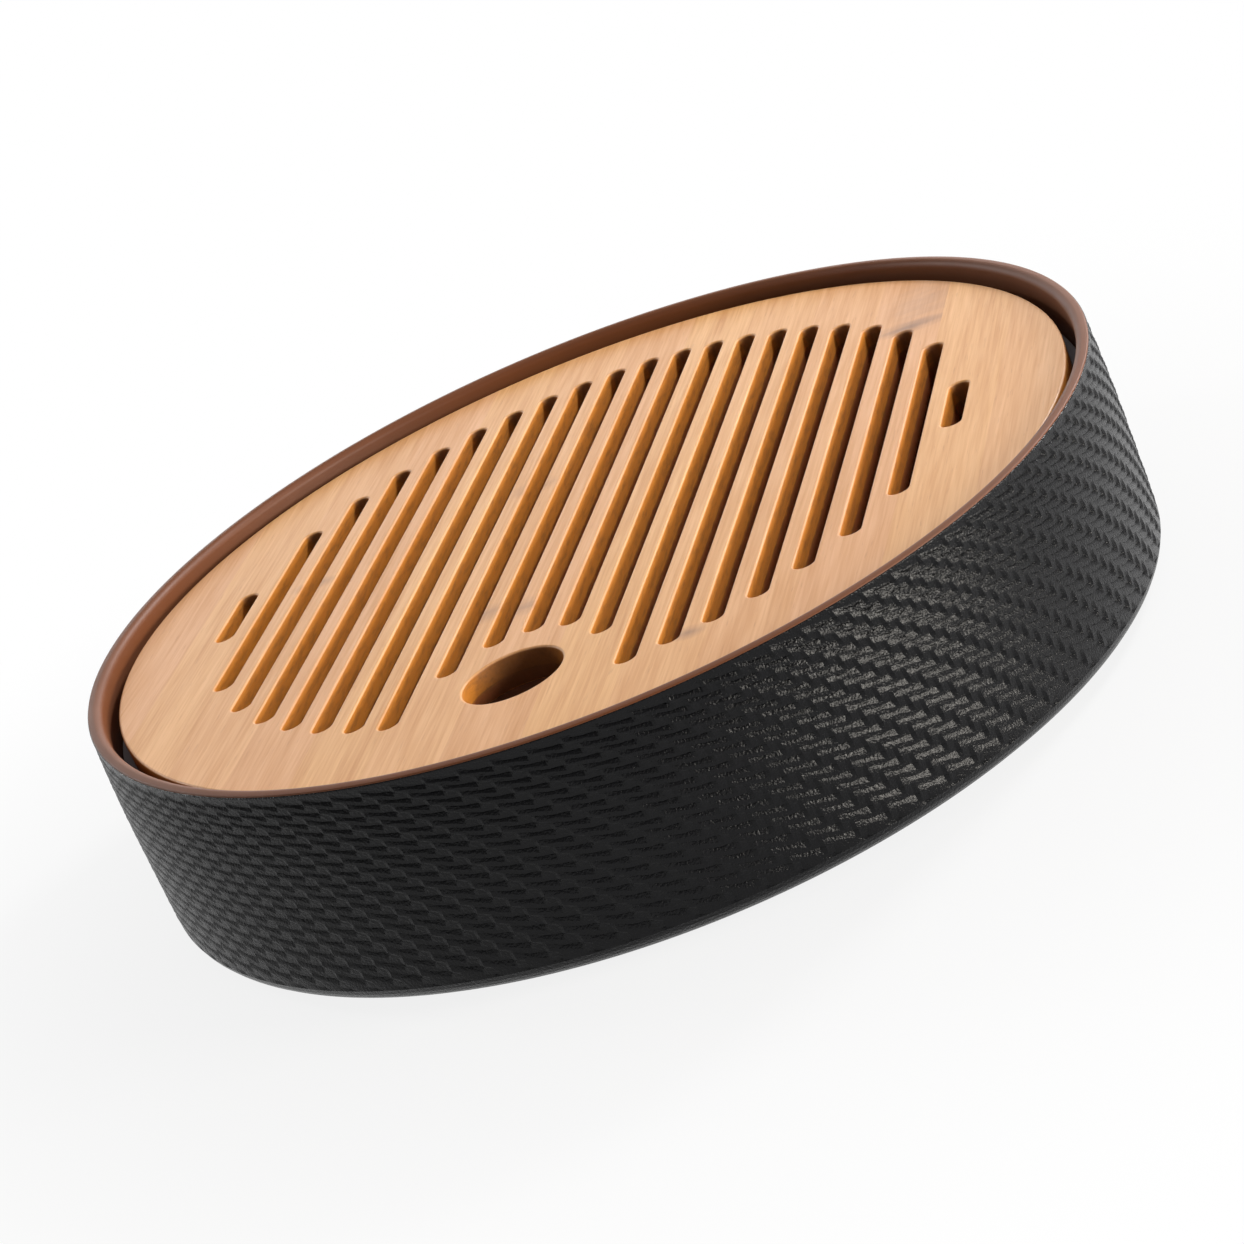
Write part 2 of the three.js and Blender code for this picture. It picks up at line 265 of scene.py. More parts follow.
def bamboo_lacquered(p):
    # Laminated bamboo, planed, routed and satin lacquered: flat strips of slightly different tone,
    # fine straight fibres with short dark vessels, grey smears at the nodes, a soft sheen.
    material, tree = empty_material("bamboo_lacquered")
    place = add_node(tree, "ShaderNodeTexCoord").outputs["Object"]
    axes = add_node(tree, "ShaderNodeSeparateXYZ", {0: place}).outputs
    strips = add_node(tree, "ShaderNodeMath", {0: axes["X"], 1: 1 / p.strip, 2: 0.5},
                      operation="MULTIPLY_ADD")
    strip = add_node(tree, "ShaderNodeMath", {0: strips.outputs[0]}, operation="FLOOR").outputs[0]
    # Each strip has its own tone, and its grain starts somewhere else.
    tone_step, tone_start, grain_step = 0.3, 0.7, 0.37
    tone = add_node(tree, "ShaderNodeMath", {0: strip, 1: tone_step, 2: tone_start},
                    operation="MULTIPLY_ADD")
    tone = add_node(tree, "ShaderNodeMath", {0: tone.outputs[0]}, operation="FRACT").outputs[0]
    moved = add_node(tree, "ShaderNodeMath", {0: strip, 1: grain_step, 2: axes["Y"]},
                     operation="MULTIPLY_ADD")
    grain = add_node(tree, "ShaderNodeCombineXYZ",
                     {"X": axes["X"], "Y": moved.outputs[0], "Z": axes["Z"]}).outputs[0]

    def streaks(width, run, detail):
        """Noise that is stretched along the grain, from its width across the grain and its run."""
        scaled = add_node(tree, "ShaderNodeVectorMath",
                          {0: grain, 1: (1 / width, 1 / run, 1 / width)}, operation="MULTIPLY")
        noise = add_node(tree, "ShaderNodeTexNoise",
                         {"Vector": scaled.outputs[0], "Scale": 1, "Detail": detail,
                          "Roughness": 0.6})
        return noise.outputs["Fac"]

    # Real fibres and vessels are half as wide, and are drawn as coarse as they need to show.
    fibres = streaks(p.fibre, 28 * MM, 2)
    vessels = streaks(0.5 * MM, 7 * MM, 1)
    broad = streaks(5 * MM, 110 * MM, 2)
    patches = streaks(2.5 * MM, 5 * MM, 3)
    bands = streaks(9 * MM, 3.5 * MM, 1)
    scorch = streaks(1.2 * MM, 7 * MM, 3)
    wood = add_node(tree, "ShaderNodeMix", {FACTOR: tone, COLOUR_A: p.pale, COLOUR_B: p.blush},
                    data_type="RGBA").outputs[MIXED]
    honey = add_node(tree, "ShaderNodeMath", {0: fibres, 1: broad}).outputs[0]
    honey = add_node(tree, "ShaderNodeMapRange",
                     {"Value": honey, "From Min": 0.714286, "From Max": 1.4}).outputs[0]
    wood = add_node(tree, "ShaderNodeMix", {FACTOR: honey, COLOUR_A: wood, COLOUR_B: p.honey},
                    data_type="RGBA").outputs[MIXED]
    vessels = add_node(tree, "ShaderNodeMapRange",
                       {"Value": vessels, "From Min": 0.66, "From Max": 0.78,
                        "To Max": 0.22}).outputs[0]
    wood = add_node(tree, "ShaderNodeMix", {FACTOR: vessels, COLOUR_A: wood, COLOUR_B: p.vessel},
                    data_type="RGBA").outputs[MIXED]

    # Knuckles of the cane that the plane has cut through, each a smear across part of a strip.
    smear = 0.0
    for x, y, wide, tall, strength in KNUCKLES:
        off = add_node(tree, "ShaderNodeVectorMath",
                       {0: place, 1: (x * MM, y * MM, PLATE_HIGH.z)}, operation="SUBTRACT")
        off = add_node(tree, "ShaderNodeVectorMath",
                       {0: off.outputs[0], 1: (1 / (wide * MM), 1 / (tall * MM), 0)},
                       operation="MULTIPLY")
        off = add_node(tree, "ShaderNodeVectorMath", {0: off.outputs[0]}, operation="LENGTH")
        near = add_node(tree, "ShaderNodeMapRange",
                        {"Value": off.outputs["Value"], "From Min": 1, "From Max": 0.1,
                         "To Max": strength})
        same = add_node(tree, "ShaderNodeMath",
                        {0: strip, 1: math.floor(x * MM / p.strip + 0.5), 2: 0.1},
                        operation="COMPARE")
        near = add_node(tree, "ShaderNodeMath", {0: near.outputs[0], 1: same.outputs[0]},
                        operation="MULTIPLY")
        smear = add_node(tree, "ShaderNodeMath", {0: near.outputs[0], 1: smear},
                         operation="MAXIMUM").outputs[0]
    ragged = add_node(tree, "ShaderNodeMapRange",
                      {"Value": bands, "From Min": 0.2, "From Max": 0.65,
                       "To Min": 0.45}).outputs[0]
    smear = add_node(tree, "ShaderNodeMath", {0: smear, 1: ragged}, operation="MULTIPLY")
    wood = add_node(tree, "ShaderNodeMix",
                    {FACTOR: smear.outputs[0], COLOUR_A: wood, COLOUR_B: p.knuckle},
                    data_type="RGBA").outputs[MIXED]

    # Routed walls are darker than the planed face. The lower ply shows in them, below a ragged border
    # and a glue line; its darker colour is partly painted shade, where the key lamp's light stops down
    # in the slots. The cutter has scorched the walls in places.
    ply_z = PLATE_HIGH.z - p.ply
    tear, tear_top, tear_end = 1.6 * MM, 1.2 * MM, 0.4 * MM
    torn = add_node(tree, "ShaderNodeMath", {0: patches, 1: tear, 2: axes["Z"]},
                    operation="MULTIPLY_ADD").outputs[0]
    below = add_node(tree, "ShaderNodeMapRange",
                     {"Value": torn, "From Min": ply_z + tear_top,
                      "From Max": ply_z + tear_end}).outputs[0]
    routed = add_node(tree, "ShaderNodeMix", {FACTOR: below, COLOUR_A: p.cut, COLOUR_B: p.under},
                      data_type="RGBA").outputs[MIXED]
    half_glue, glue_strength = 0.2 * MM, 0.3
    glue = add_node(tree, "ShaderNodeMath", {0: axes["Z"], 1: ply_z, 2: half_glue},
                    operation="COMPARE").outputs[0]
    scorch = add_node(tree, "ShaderNodeMapRange",
                      {"Value": scorch, "From Min": 0.46, "From Max": 0.7,
                       "To Max": 0.42}).outputs[0]
    scorch = add_node(tree, "ShaderNodeMath", {0: glue, 1: glue_strength, 2: scorch},
                      operation="MULTIPLY_ADD").outputs[0]
    routed = add_node(tree, "ShaderNodeMix", {FACTOR: scorch, COLOUR_A: routed, COLOUR_B: p.end},
                      data_type="RGBA").outputs[MIXED]
    # The walls that face along Y, the slots' ends and the finger hole's, are mixed far towards the
    # end-grain colour. This is painted shade, darker than end grain alone: it stands in for the key
    # lamp's shadow on those walls.
    normal = add_node(tree, "ShaderNodeNewGeometry").outputs["Normal"]
    facing = add_node(tree, "ShaderNodeSeparateXYZ", {0: normal}).outputs
    across = add_node(tree, "ShaderNodeMath", {0: facing["Y"]}, operation="ABSOLUTE").outputs[0]
    ends = add_node(tree, "ShaderNodeMapRange",
                    {"Value": across, "From Min": 0.3, "From Max": 0.9, "To Max": 0.85}).outputs[0]
    routed = add_node(tree, "ShaderNodeMix", {FACTOR: ends, COLOUR_A: routed, COLOUR_B: p.end},
                      data_type="RGBA").outputs[MIXED]
    level = add_node(tree, "ShaderNodeMath", {0: facing["Z"]}, operation="ABSOLUTE").outputs[0]
    walls = add_node(tree, "ShaderNodeMapRange",
                     {"Value": level, "From Min": 0.75, "From Max": 0.2, "To Max": 0.85}).outputs[0]
    wood = add_node(tree, "ShaderNodeMix", {FACTOR: walls, COLOUR_A: wood, COLOUR_B: routed},
                    data_type="RGBA").outputs[MIXED]

    rough = add_node(tree, "ShaderNodeMapRange",
                     {"Value": fibres, "To Min": 0.34, "To Max": 0.5}).outputs[0]
    bump = add_node(tree, "ShaderNodeBump",
                    {"Height": fibres, "Distance": 0.03 * MM, "Strength": 0.6})
    surface = add_node(tree, "ShaderNodeBsdfPrincipled",
                       {"Base Color": wood, "Roughness": rough, "IOR": 1.5,
                        "Specular IOR Level": 0.22, "Normal": bump.outputs[0]})
    add_node(tree, "ShaderNodeOutputMaterial", {"Surface": surface.outputs[0]})
    return material


def melamine_moulded(b):
    # Melamine, compression moulded: an even brown with a satin gloss and a faintly uneven surface.
    material, tree = empty_material("melamine_moulded")
    place = add_node(tree, "ShaderNodeTexCoord").outputs["Object"]
    peel = add_node(tree, "ShaderNodeTexNoise",
                    {"Vector": place, "Scale": 1 / b.peel, "Detail": 0}).outputs["Fac"]
    cloud = add_node(tree, "ShaderNodeTexNoise",
                     {"Vector": place, "Scale": 1 / (18 * MM), "Detail": 3}).outputs["Fac"]
    base = add_node(tree, "ShaderNodeMix",
                    {FACTOR: cloud, COLOUR_A: b.tint, COLOUR_B: tinted(b.tint, 0.8)},
                    data_type="RGBA")
    rough = add_node(tree, "ShaderNodeMapRange",
                     {"Value": cloud, "To Min": 0.48, "To Max": 0.58}).outputs[0]
    bump = add_node(tree, "ShaderNodeBump",
                    {"Height": peel, "Distance": 0.02 * MM, "Strength": 0.3})
    surface = add_node(tree, "ShaderNodeBsdfPrincipled",
                       {"Base Color": base.outputs[MIXED], "Roughness": rough, "IOR": 1.5,
                        "Specular IOR Level": 0.35, "Normal": bump.outputs[0]})
    add_node(tree, "ShaderNodeOutputMaterial", {"Surface": surface.outputs[0]})
    return material


def black_moulded(s):
    # Black plastic, moulded in a textured tool: deep black with a fine grit and a low satin sheen.
    # Real grit is a third as wide, and is drawn as coarse as it needs to show.
    material, tree = empty_material("black_plastic_moulded")
    place = add_node(tree, "ShaderNodeTexCoord").outputs["Object"]
    grit = add_node(tree, "ShaderNodeTexNoise",
                    {"Vector": place, "Scale": 1 / s.grit, "Detail": 2}).outputs["Fac"]
    cloud = add_node(tree, "ShaderNodeTexNoise",
                     {"Vector": place, "Scale": 1 / (9 * MM), "Detail": 3}).outputs["Fac"]
    base = add_node(tree, "ShaderNodeMix",
                    {FACTOR: cloud, COLOUR_A: s.tint, COLOUR_B: tinted(s.tint, 1.5)},
                    data_type="RGBA")
    rough = add_node(tree, "ShaderNodeMapRange",
                     {"Value": grit, "To Min": 0.19, "To Max": 0.35}).outputs[0]
    bump = add_node(tree, "ShaderNodeBump",
                    {"Height": grit, "Distance": 0.22 * MM, "Strength": 1})
    surface = add_node(tree, "ShaderNodeBsdfPrincipled",
                       {"Base Color": base.outputs[MIXED], "Roughness": rough, "IOR": 1.5,
                        "Specular IOR Level": 0.18, "Normal": bump.outputs[0]})
    add_node(tree, "ShaderNodeOutputMaterial", {"Surface": surface.outputs[0]})
    return material


def rubber_moulded(name, r, tint):
    # Black rubber, moulded: matte with a fine grain of lighter speckles. The seat ring's rubber is
    # painted a much lighter grey, a painted sheen for the light it catches in its shaded groove.
    material, tree = empty_material(name)
    place = add_node(tree, "ShaderNodeTexCoord").outputs["Object"]
    grain = add_node(tree, "ShaderNodeTexNoise",
                     {"Vector": place, "Scale": 1 / r.grain, "Detail": 2}).outputs["Fac"]
    base = add_node(tree, "ShaderNodeMix",
                    {FACTOR: grain, COLOUR_A: tint, COLOUR_B: tinted(tint, 1.35)},
                    data_type="RGBA")
    bump = add_node(tree, "ShaderNodeBump",
                    {"Height": grain, "Distance": 0.03 * MM, "Strength": 0.6})
    surface = add_node(tree, "ShaderNodeBsdfPrincipled",
                       {"Base Color": base.outputs[MIXED], "Roughness": 0.7, "IOR": 1.52,
                        "Normal": bump.outputs[0]})
    add_node(tree, "ShaderNodeOutputMaterial", {"Surface": surface.outputs[0]})
    return material


# Meshes


def arc(radius_at, z_at, radius, start, stop, steps=8):
    """Points of an arc in a profile, between two directions in degrees."""
    turns = [math.radians(start + (stop - start) * i / steps) for i in range(steps + 1)]
    return [(radius_at + radius * math.cos(t), z_at + radius * math.sin(t)) for t in turns]


def bridge(bm, fine, coarse):
    """Faces between two rings. The coarse one has a whole fraction of the fine one's points."""
    count = len(fine) if len(coarse) == 1 else len(coarse)
    run = len(fine) // count
    for i in range(count):
        face = [fine[(i * run + k) % len(fine)] for k in range(run + 1)]
        face += [coarse[0]] if len(coarse) == 1 else [coarse[(i + 1) % count], coarse[i]]
        bm.faces.new(face)


def ring(bm, turns, radius, z):
    return [bm.verts.new((radius * math.cos(t), radius * math.sin(t), z)) for t in turns]


def turn(bm, profile, divisions, closed=False):
    """Turns a profile of radii and heights about Z. A point on the axis becomes one vertex."""
    turns = [2 * math.pi * i / divisions for i in range(divisions)]
    rings = [ring(bm, turns if radius > 0 else [0], radius, z) for radius, z in profile]
    for first, second in zip(rings, rings[1:] + rings[:1] if closed else rings[1:]):
        bridge(bm, *sorted((first, second), key=len, reverse=True))


def closed_loop(bm, loop):
    """Edges round a loop of vertices, made where they are missing."""
    pairs = zip(loop, loop[1:] + loop[:1])
    return [bm.edges.get(pair) or bm.edges.new(pair) for pair in pairs]


def set_piece(bm, name, material, body, nodes, crisp=35):
    """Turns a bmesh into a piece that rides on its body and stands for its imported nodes. Edges that
    bend by more than crisp degrees are shaded sharp."""
    bmesh.ops.recalc_face_normals(bm, faces=bm.faces)
    for face in bm.faces:
        face.smooth = True
    limit = math.radians(crisp)
    for edge in bm.edges:
        if edge.calc_face_angle(0) > limit:
            edge.smooth = False
    mesh = bpy.data.meshes.new(name)
    bm.to_mesh(mesh)
    bm.free()
    mesh.materials.append(material)
    piece = bpy.data.objects.new(name, mesh)
    bpy.context.scene.collection.objects.link(piece)
    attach(piece, body)
    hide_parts(*nodes)
    return piece


def pad_places():
    """Middle, radius and height of each foot pad."""
    boxes = [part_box(pad) for pad in PADS]
    return [((low + high) / 2, (high.x - low.x) / 2, high.z) for low, high in boxes]


def wall_radius(s, z):
    """Outside radius of the shell at a height, over the foot round, the plain wall and the swell."""
    top = SHELL_HIGH.z - s.seam_ease
    bend = max(0, (z - s.swell_end) / (top - s.swell_end))
    below = max(0, SHELL_LOW.z + s.foot_round - z)
    tuck = s.foot_round - math.sqrt(s.foot_round ** 2 - below ** 2)
    return SHELL_HIGH.x - s.swell * bend ** 2 - tuck


def weave_turn(s, column, row):
    """Angle and height of a point of the weave, in stitches round the wall and rows down it."""
    drop = row - 1
    shift = drop * (s.row_shift - s.shift_loss * drop / 2)
    z = s.first_row - drop * (s.row_pitch + s.pitch_growth * drop / 2)
    return 2 * math.pi * column / s.columns + shift / SHELL_HIGH.x, z


def shell_mesh(s):
    """Shell with its woven wall. Strands run down to the right and fall gently from ridge to ridge.
    Between two strands lies a sunk stitch that starts on one ridge and ends below the next."""
    bm = bmesh.new()
    # Lines along a stitch: foot and top of the slope of each of the four ridges that cross it. Only
    # the first and the last pair rise, because a ridge is one and a half rows long.
    tops = [s.stitch_start + k / 4 for k in range(4)]
    along = [u for top in tops for u in (top - s.ridge_slope, top)]
    narrow = (s.stitch_end + s.stitch_waist) / 2
    halves = (s.stitch_end * START_WIDTH,) * 2 + (narrow, s.stitch_waist, s.stitch_waist, narrow)
    halves += (s.stitch_end,) * 2
    steps, lines = len(along), 5
    steps_round = steps - 2
    made = {}

    def at(column, a, row, b):
        """Vertex at line a along and line b across a stitch. Line 0 across is a strand's middle."""
        if a == steps:
            column, a, row = column + 1, 0, row + 1
        # The line below a stitch is the next strand's middle, one ridge further back.
        if b == lines and a > 1:
            a, row, b = a - 2, row + 1, 0
        elif b == lines:
            column, a, b = column - 1, a + steps_round, 0
        key = (column % s.columns, a, row, b)
        if key not in made:
            half = halves[a]
            off = (-0.5, -half, STITCH_LIP - half, 0, half)[b]
            across = 0.5 + off - STITCH_TURN * (along[a] - 0.5) if b else 0
            # Ridges lean, so that a ridge and the one four rows below it lie on one line.
            leant = along[a] - RIDGE_LEAN * (across - 0.5)
            t, z = weave_turn(s, column + leant, row + leant + across)
            fall = s.strand_fall * (leant - s.stitch_start + RIDGE_LEAN / 2) / (1 - s.ridge_slope)
            if a == steps - 1:
                fall = s.strand_fall * across * LAST_FALL
            elif b and a == 0:
                fall = s.strand_fall * (FIRST_FALL + FALL_ACROSS * across)
            elif b and a == 1:
                fall = s.stitch_depth * START_DEPTHS[b - 1]
            elif b:
                run = (leant - s.stitch_start) / DEPTH_RUN
                deepening = EARLY_DEPTH + (1 - EARLY_DEPTH) * run
                fall += s.stitch_depth * FULL_DEPTHS[b - 1] * deepening
            radius = wall_radius(s, z) - fall
            made[key] = bm.verts.new((radius * math.cos(t), radius * math.sin(t), z))
        return made[key]

    def plain_ring(row):
        """Ring of vertices at the weave's upper or lower end."""
        verts = []
        for column in range(s.columns):
            for part in along[:steps_round]:
                t, z = weave_turn(s, column + part + RIDGE_LEAN / 2, row)
                radius = wall_radius(s, z)
                verts.append(bm.verts.new((radius * math.cos(t), radius * math.sin(t), z)))
        return verts

    for column in range(s.columns):
        for row in range(s.rows):
            for a in range(steps):
                for b in range(lines):
                    bm.faces.new((at(column, a, row, b), at(column, a + 1, row, b),
                                  at(column, a + 1, row, b + 1), at(column, a, row, b + 1)))
    upper = plain_ring(0)
    lower = plain_ring(s.rows + 1)
    for column in range(s.columns):
        first = column * steps_round
        for a in range(steps_round):
            here, there = first + a, (first + a + 1) % len(upper)
            above = [at(column, a, 0, 0), at(column, a + 1, 0, 0)]
            below = [at(column, a, s.rows, 0), at(column, a + 1, s.rows, 0)]
            if a == steps_round - 1:
                above += [at(column + 1, 0, 0, b) for b in range(lines - 1, -1, -1)]
                below += [at(column + 1, 0, s.rows, b) for b in range(lines - 1, -1, -1)]
            bm.faces.new(above + [upper[there], upper[here]])
            bm.faces.new(below + [lower[there], lower[here]])

    def turns_of(verts):
        return [math.atan2(vert.co.y, vert.co.x) for vert in verts]

    # Top edge, and the inside that the basin covers.
    turns = turns_of(upper)
    inside = BASIN_HIGH.x - s.wall
    ease_z = SHELL_HIGH.z - s.seam_ease
    ease_at = wall_radius(s, ease_z)
    top = ring(bm, turns, ease_at, ease_z)
    bridge(bm, upper, top)
    for radius, z in arc(ease_at - s.seam_ease, ease_z, s.seam_ease, 30, 90, 2):
        eased = ring(bm, turns, radius, z)
        bridge(bm, top, eased)
        top = eased
    floor_z = SHELL_LOW.z + s.floor
    profile = [(inside, SHELL_HIGH.z)]
    profile += arc(inside - s.corner_round, floor_z + s.corner_round, s.corner_round, 0, -90, 6)
    for radius, z in profile:
        inner = ring(bm, turns[::steps_round], radius, z)
        bridge(bm, top, inner)
        top = inner
    bridge(bm, top, [bm.verts.new((0, 0, floor_z))])

    # Foot round, and the underside with the recesses of the pads.
    turns = turns_of(lower)
    edge = lower
    lowest = math.degrees(math.asin((lower[0].co.z - SHELL_LOW.z - s.foot_round) / s.foot_round))
    for radius, z in arc(SHELL_HIGH.x - s.foot_round, SHELL_LOW.z + s.foot_round, s.foot_round,
                         lowest, -90, 6)[1:]:
        foot = ring(bm, turns, radius, z)
        bridge(bm, edge, foot)
        edge = foot
    loops = closed_loop(bm, edge)
    for middle, radius, _ in pad_places():
        socket = [2 * math.pi * i / SOCKET_STEPS for i in range(SOCKET_STEPS)]
        mouth = ring(bm, socket, radius + s.socket_gap, SHELL_LOW.z)
        roof = ring(bm, socket, radius + s.socket_gap, SHELL_LOW.z + s.socket_depth)
        for vert in mouth + roof:
            vert.co += Vector((middle.x, middle.y, 0))
        bridge(bm, mouth, roof)
        bm.faces.new(roof)
        loops += closed_loop(bm, mouth)
    bmesh.ops.triangle_fill(bm, edges=loops, use_beauty=True)
    return bm


def basin_profile(b):
    """Radii and heights of the basin, from the middle of its underside to the middle of its floor."""
    rim, top = BASIN_HIGH.x, BASIN_HIGH.z
    mouth = rim - b.rim_width
    slope = math.tan(b.draft)
    ledge_z, seam_z, under = RING_LOW.z, top - b.rim_cap, RING_LOW.z - b.wall
    floor_z = BASIN_LOW.z + b.floor
    ledge = mouth - (top - ledge_z) * slope - b.ledge_width
    round_z = floor_z + b.floor_round
    round_at = ledge - (ledge_z - round_z) * slope - b.floor_round
    outer = b.floor_round + b.wall
    return [
        (0, BASIN_LOW.z),
        *arc(round_at, BASIN_LOW.z + outer, outer, -90, 0, 12),
        (ledge - b.wall * slope + b.wall, under),
        (mouth - (top - under) * slope + b.wall, under),
        (mouth - b.rim_cap * slope + b.wall, seam_z),
        (rim, seam_z),
        *arc(rim - b.edge_round, top - b.rim_fall - b.edge_round, b.edge_round, 0, 80)[1:],
        *arc(mouth + b.lip_round, top - b.lip_round, b.lip_round, 90, 180, 12),
        (mouth - (top - ledge_z) * slope, ledge_z),
        *arc(ledge + b.ledge_round, ledge_z - b.ledge_round, b.ledge_round, 90, 180),
        *arc(round_at, round_z, b.floor_round, 0, -90, 16),
        (0, floor_z),
    ]


def ring_profile(r, b):
    """Radii and heights round the seat ring's section."""
    wall = BASIN_HIGH.x - b.rim_width - (BASIN_HIGH.z - RING_LOW.z) * math.tan(b.draft)
    inside, outside = wall - b.ledge_width + b.ledge_round + r.inset, RING_HIGH.x
    return [
        (inside, RING_LOW.z),
        (outside, RING_LOW.z),
        *arc(outside - r.ease, RING_HIGH.z - r.ease, r.ease, 0, 90, 4),
        *arc(inside + r.ease, RING_HIGH.z - r.ease, r.ease, 90, 180, 4),
    ]


def plate_outlines(p, inset):
    """Outlines of the plate, its slots and its finger hole, each moved into the wood by an inset."""
    radius, end = PLATE_HIGH.x, p.slot_width / 2
    field = radius - p.slot_border
    keep_out = p.hole_diameter / 2 + p.hole_web
    hole_y = -(radius - p.hole_border - p.hole_diameter / 2)
    outlines = [arc(0, 0, radius - inset, 0, 360, ROUND_STEPS)[:-1],
                arc(0, hole_y, p.hole_diameter / 2 + inset, 0, 360, HOLE_STEPS)[:-1]]
    for i in range(-p.slots_each_side, p.slots_each_side + 1):
        x = i * p.slot_pitch
        back = math.sqrt(field ** 2 - (abs(x) + end) ** 2)
        front = hole_y + math.sqrt(keep_out ** 2 - x ** 2) if abs(x) < keep_out else -back
        outlines.append(arc(x, back - end, end + inset, 0, 180, 16)
                        + arc(x, front + end, end + inset, 180, 360, 16))
    return outlines


def plate_mesh(p):
    """Routed plate with eased edges all round."""
    bm = bmesh.new()
    bottom = arc(p.ease, PLATE_LOW.z + p.ease, p.ease, -90, -180, 4)
    top = arc(p.ease, PLATE_HIGH.z - p.ease, p.ease, 180, 90, 4)
    sections = []
    for inset, z in bottom + top:
        sections.append([[bm.verts.new((x, y, z)) for x, y in outline]
                         for outline in plate_outlines(p, inset)])
    for lower, upper in zip(sections, sections[1:]):
        for first, second in zip(lower, upper):
            bridge(bm, first, second)
    for section in (sections[0], sections[-1]):
        loops = [edge for outline in section for edge in closed_loop(bm, outline)]
        bmesh.ops.triangle_fill(bm, edges=loops, use_beauty=True)
        for edge in loops:
            edge.smooth = False
    return bm


# Operators


class TRAY_OT_shell(bpy.types.Operator):
    """Makes the black shell with its woven wall."""
    bl_idname = "tray.shell"
    bl_label = "Outer Shell"

    def execute(self, context):
        s = context.scene.tray_shell
        set_piece(shell_mesh(s), "shell_woven", black_moulded(s), "tub",
                  ["outer_shell"], crisp=12)
        return {"FINISHED"}


class TRAY_OT_basin(bpy.types.Operator):
    """Makes the brown basin with its rim and ledge."""
    bl_idname = "tray.basin"
    bl_label = "Inner Basin"

    def execute(self, context):
        b = context.scene.tray_basin
        bm = bmesh.new()
        turn(bm, basin_profile(b), ROUND_STEPS)
        set_piece(bm, "basin_moulded", melamine_moulded(b), "tub",
                  ["inner_basin"])
        return {"FINISHED"}


class TRAY_OT_rubber(bpy.types.Operator):
    """Makes the seat ring under the plate and the four foot pads."""
    bl_idname = "tray.rubber"
    bl_label = "Seat Ring and Pads"

    def execute(self, context):
        r = context.scene.tray_ring
        # The ring's lighter grey copy of the rubber is painted sheen, a lit copy of the pads' black.
        painted_sheen = rubber_moulded("rubber_moulded_greyed", r, r.tint)
        black = rubber_moulded("rubber_moulded_black", r, r.pad_tint)
        bm = bmesh.new()
        turn(bm, ring_profile(r, context.scene.tray_basin), ROUND_STEPS, closed=True)
        set_piece(bm, "ring_seat", painted_sheen, "tub", ["seat_ring"])
        for pad, (middle, radius, top) in zip(PADS, pad_places()):
            bm = bmesh.new()
            turn(bm, [(0, 0), *arc(radius - r.pad_ease, r.pad_ease, r.pad_ease, -90, 0, 6),
                      (radius, top), (0, top)], PAD_STEPS)
            bmesh.ops.translate(bm, verts=bm.verts, vec=(middle.x, middle.y, 0))
            set_piece(bm, pad.replace("foot_", ""), black, "tub", [pad])
        return {"FINISHED"}


class TRAY_OT_plate(bpy.types.Operator):
    """Makes the routed bamboo plate."""
    bl_idname = "tray.plate"
    bl_label = "Bamboo Plate"

    def execute(self, context):
        p = context.scene.tray_plate
        set_piece(plate_mesh(p), "plate_slotted", bamboo_lacquered(p), "plate",
                  ["bamboo_plate"], crisp=60)
        return {"FINISHED"}


class TRAY_OT_stage(bpy.types.Operator):
    """Sets up the camera, the lamps, the pale floor and the studio's walls."""
    bl_idname = "tray.stage"
    bl_label = "Stage"

    def execute(self, context):
        g = context.scene.tray_stage
        set_camera(context, g)
        set_floor(context, g)
        set_world(context, g)
        lamps = {name: set_softbox(context, g, name) for name in SOFTBOXES}
        lamps["wall"].data.color = g.wall_tint[:3]
        context.scene.view_settings.view_transform = "Standard"
        return {"FINISHED"}


def towards(azimuth, rise):
    """Direction to the right of the front by an azimuth and up by a rise."""
    return Vector((math.sin(azimuth) * math.cos(rise), -math.cos(azimuth) * math.cos(rise),
                   math.sin(rise)))


def set_camera(context, g):
    view = towards(g.azimuth, g.elevation)
    flat_right = Vector((math.cos(g.azimuth), math.sin(g.azimuth), 0))
    flat_up = view.cross(flat_right)
    right = math.cos(g.roll) * flat_right + math.sin(g.roll) * flat_up
    up = math.cos(g.roll) * flat_up - math.sin(g.roll) * flat_right
    camera = bpy.data.objects.new("camera", bpy.data.cameras.new("camera"))
    context.scene.collection.objects.link(camera)
    camera.data.lens = g.lens
    camera.data.sensor_width = SENSOR_WIDTH
    camera.data.clip_start = CLIP_START
    place = MIDDLE + view * g.distance
    aim = MIDDLE + right * g.aim_right + up * g.aim_up
    tilt = view.rotation_difference((place - aim).normalized()).to_matrix()
    turned = tilt @ Matrix((right, up, view)).transposed()
    camera.matrix_world = Matrix.Translation(place) @ turned.to_4x4()
    context.scene.camera = camera


def set_softbox(context, g, name):
    """Area lamp aimed at the tray, from the table of softboxes and the power in the settings."""
    around, rise, width, height = SOFTBOXES[name]
    out = towards(g.azimuth + math.radians(around), math.radians(rise))
    lamp = bpy.data.objects.new("softbox_" + name, bpy.data.lights.new("softbox_" + name, "AREA"))
    context.scene.collection.objects.link(lamp)
    lamp.data.energy = getattr(g, name + "_power")
    lamp.data.shape = "RECTANGLE"
    lamp.data.size = width
    lamp.data.size_y = height
    lamp.location = MIDDLE + out * LAMP_DISTANCE
    lamp.rotation_euler = (-out).to_track_quat("-Z", "Y").to_euler()
    return lamp


